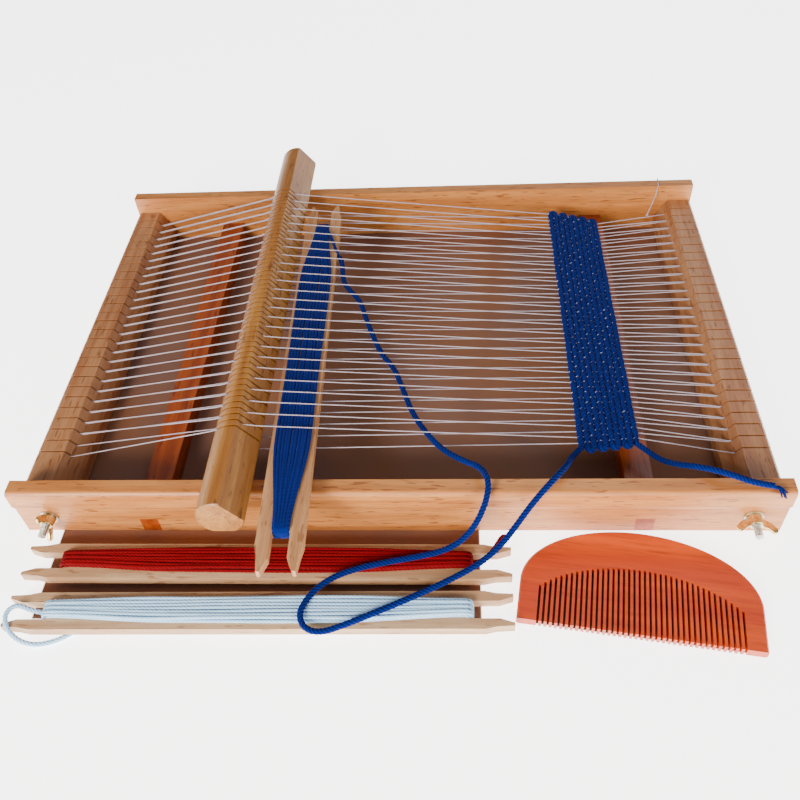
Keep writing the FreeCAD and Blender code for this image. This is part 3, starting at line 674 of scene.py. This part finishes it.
def warp_in_cloth(number):
    """One warp end's way over and under the rows."""
    points = []
    for half in range(2 * PICKS + 1):
        x = BAND_LEFT + half * PICK_PITCH / 2
        pick = (half - 1) / 2
        bend = -WARP_BEND * math.cos(math.pi * (number + pick))
        points.append(Vector((x, warp_y(x, number), band_z(x) + bend)))
    return points


weft_rows = spin("woven_rows", [metres(weft_snake())], blue_wool, "NURBS", Radius=PICK_THICK / 2 * MM,
                 Plies=4, Turns=125.0, Step=0.9 * MM, Sides=14)
warp_dots = spin("woven_ends", [metres(warp_in_cloth(number)) for number in range(WARP_ENDS)], warp_cotton,
                 "NURBS", Radius=0.36 * MM, Plies=2, Turns=300.0, Step=0.55 * MM, Sides=6)
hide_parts("woven_band")
for piece in (weft_rows, warp_dots):
    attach(piece, "root")

# %% [markdown]
# ## Wood
# Beech is pale and close.  It has three things at three sizes: broad soft bands from
# the growth rings, fine fibres, and short dark dashes, the rays.  All of them run long
# with the grain, so the texture is squeezed along the board before the noise is read.
# A scanned board would repeat and would need an image file; noise never repeats.
# The wood is rubbed and slightly glossy, and rougher where the fibres are open.


# %% Wood finishes
def wood(name, pale, deep, fleck, grain, turn=0.0, rough=0.42):
    """grain is how far a texture is stretched on each axis; the long way has the smallest number."""
    finish = Finish(name, Coat_Weight=0.12, Coat_Roughness=0.35)
    place = finish.place(grain, turn)
    bands = finish.noise(place, 55.0, 2.0)
    rings = (bands * 9.0).maths("PINGPONG", 1.0)
    fibres = finish.noise(place, 900.0, 4.0, 0.65)
    streaks = finish.noise(place, 260.0, 3.0, 0.6)
    dashes = finish.noise(finish.place([v * (2.6 if v < 1 else 1) for v in grain], turn), 620.0, 1.0)
    ground = finish.blend((rings * 0.45 + streaks * 0.55).band(0.18, 0.82), pale, deep)
    fine = finish.blend(fibres.band(0.38, 0.75) * 0.45, ground, fleck)
    colour = finish.blend(dashes.band(0.63, 0.70) * 0.75, fine, fleck)
    finish.set("Base Color", colour)
    finish.set("Roughness", fibres * 0.25 + (rough - 0.10))
    finish.bump(fibres - dashes.band(0.60, 0.72) * 0.6, 0.00008, 0.45)
    return finish.material


ALONG_X = (0.06, 1, 1)
ALONG_Y = (1, 0.06, 1)
rail_wood = wood("beech rail", (0.64, 0.26, 0.070), (0.50, 0.17, 0.035), (0.22, 0.06, 0.010), ALONG_X)
# The crossbars are the same beech as the rails, given a darker and deeper orange colour: painted shade for
# the shadow they lie in inside the frame.
crossbar_wood_painted_shade = wood("beech crossbar with painted shade", (0.42, 0.075, 0.004), (0.28, 0.038, 0.002), (0.13, 0.018, 0.001), ALONG_Y)
board_wood = wood("beech end board", (0.44, 0.20, 0.082), (0.33, 0.12, 0.042), (0.17, 0.05, 0.014), ALONG_Y)
bar_wood = wood("beech bar", (0.42, 0.185, 0.034), (0.30, 0.105, 0.014), (0.14, 0.04, 0.005), ALONG_Y)
stick_x_wood = wood("spare shuttle wood", (0.60, 0.38, 0.21), (0.46, 0.25, 0.12), (0.28, 0.12, 0.05), ALONG_X,
                    rough=0.55)
stick_y_wood = wood("shuttle wood", (0.58, 0.30, 0.13), (0.44, 0.19, 0.07), (0.26, 0.09, 0.03), ALONG_Y,
                    rough=0.55)


def comb_wood():
    """Wood with an orange stain, which the open fibres take up more of."""
    finish = Finish("stained comb", Coat_Weight=0.2, Coat_Roughness=0.3)
    place = finish.place(ALONG_X, COMB_TURN)
    fibres = finish.noise(place, 700.0, 4.0, 0.6)
    bands = finish.noise(place, 90.0, 2.0)
    ground = finish.blend(bands.band(0.3, 0.7), (0.74, 0.090, 0.002), (0.52, 0.042, 0.001))
    finish.set("Base Color", finish.blend(fibres.band(0.45, 0.75) * 0.5, ground, (0.22, 0.015, 0.001)))
    finish.set("Roughness", fibres * 0.2 + 0.35)
    finish.bump(fibres, 0.00006, 0.4)
    return finish.material


# %% [markdown]
# ## Metal and thread
# The wing nuts are cast brass, dull in their hollows.  The washers and bolts are zinc
# plated steel.  A bolt's thread is a fine wave along it, read by the bump: cut as a
# real helix it would need many faces for a pitch of 0.7 mm, which hardly shows.


# %% Metal and thread finishes
THREAD_PITCH = 0.7 * MM


def brass_finish():
    finish = Finish("cast brass", Metallic=1.0)
    place = finish.place()
    cloudy = finish.noise(place, 420.0, 3.0)
    specks = finish.noise(place, 2600.0, 2.0)
    finish.set("Base Color", finish.blend(cloudy.band(0.3, 0.75), (0.80, 0.62, 0.30), (0.52, 0.37, 0.15)))
    finish.set("Roughness", cloudy * 0.30 + 0.16)
    finish.bump(specks + cloudy, 0.00010, 0.4)
    return finish.material


def zinc_finish(name, thread):
    finish = Finish(name, Metallic=1.0)
    place = finish.place()
    cloudy = finish.noise(place, 500.0, 3.0)
    finish.set("Base Color", finish.blend(cloudy.band(0.35, 0.7), (0.62, 0.61, 0.57), (0.40, 0.39, 0.36)))
    finish.set("Roughness", cloudy * 0.25 + 0.22)
    if thread:
        turns = finish.axis(place, 1) * (2 * math.pi / THREAD_PITCH)
        finish.bump(turns.maths("SINE"), 0.00025, 0.9)
    else:
        finish.bump(cloudy, 0.00008, 0.4)
    return finish.material


def thread_finish():
    """The stretched warp: cotton thread whose twist shows as fine slanting lines."""
    finish = Finish("warp thread", Roughness=0.85, Sheen_Weight=0.3, Sheen_Roughness=0.5)
    place = finish.place()
    twist = finish.node("ShaderNodeTexWave", {"bands_direction": "DIAGONAL"},
                        {"Vector": place, "Scale": 480.0, "Distortion": 1.5, "Detail": 1.0}, 1)
    patches = finish.noise(place, 300.0, 2.0)
    shade = twist * 0.6 + patches * 0.5
    finish.set("Base Color", finish.blend(shade.band(0.15, 0.85), (0.26, 0.20, 0.24), (0.58, 0.50, 0.56)))
    finish.bump(twist, 0.00010, 0.6)
    return finish.material


brass = brass_finish()
zinc = zinc_finish("zinc plate", thread=False)
bolt_steel = zinc_finish("bolt thread", thread=True)
warp_thread = thread_finish()
print("finishes so far:", len(bpy.data.materials))

# %% [markdown]
# ## Painting the solids
# The pieces that come from the CAD model keep their shape, and only their finish
# changes.  The grain follows each board: along X on the rails, along Y elsewhere.


# %% Paint them
def paint(node, material):
    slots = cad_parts[node].data.materials
    slots.clear()
    slots.append(material)
    print(node, "is", material.name)


for end in ("front", "back"):
    paint(end + "_rail", rail_wood)
for side in ("left", "right"):
    # the crossbars' wood colour carries painted shade
    paint(side + "_crossbar", crossbar_wood_painted_shade)
    paint(side + "_end_board", board_wood)
    paint(side + "_board_bolts", bolt_steel)
    for end in ("front", "back"):
        paint(side + "_" + end + "_washer", zinc)
paint("heddle_bar", bar_wood)
paint("blue_shuttle", stick_y_wood)
paint("red_shuttle", stick_x_wood)
paint("white_shuttle", stick_x_wood)
paint("comb", comb_wood())
for node in ("warp_heddle_side", "warp_cloth_side", "warp_tie"):
    paint(node, warp_thread)

# %% [markdown]
# ## Wing nuts
# A cast wing nut has no sharp corner where its wings meet the hub.  Each is remade
# from its solid with fine voxels and then smoothed, which melts the joins.  A bevel
# would need clean edges, and the solid's loose triangles have none.


# %% Cast wing nuts
def cast_nut(corner):
    node = corner + "_wing_nut"
    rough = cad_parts[node].copy()
    rough.data = rough.data.copy()
    rough.parent = None
    rough.matrix_world = Matrix.Identity(4)
    bpy.context.collection.objects.link(rough)
    remesh = rough.modifiers.new("voxels", "REMESH")
    remesh.mode = "VOXEL"
    remesh.voxel_size = 0.28 * MM
    melt = rough.modifiers.new("melt", "SMOOTH")
    melt.iterations = 6
    melt.factor = 0.5
    nut = as_mesh(rough, corner + "_cast_nut")
    nut.data.materials.clear()
    nut.data.materials.append(brass)
    nut.data.shade_smooth()
    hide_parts(node)
    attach(nut, corner + "_nut_body")
    print(nut.name, len(nut.data.polygons), "faces")


for side in ("left", "right"):
    for end in ("front", "back"):
        cast_nut(side + "_" + end)
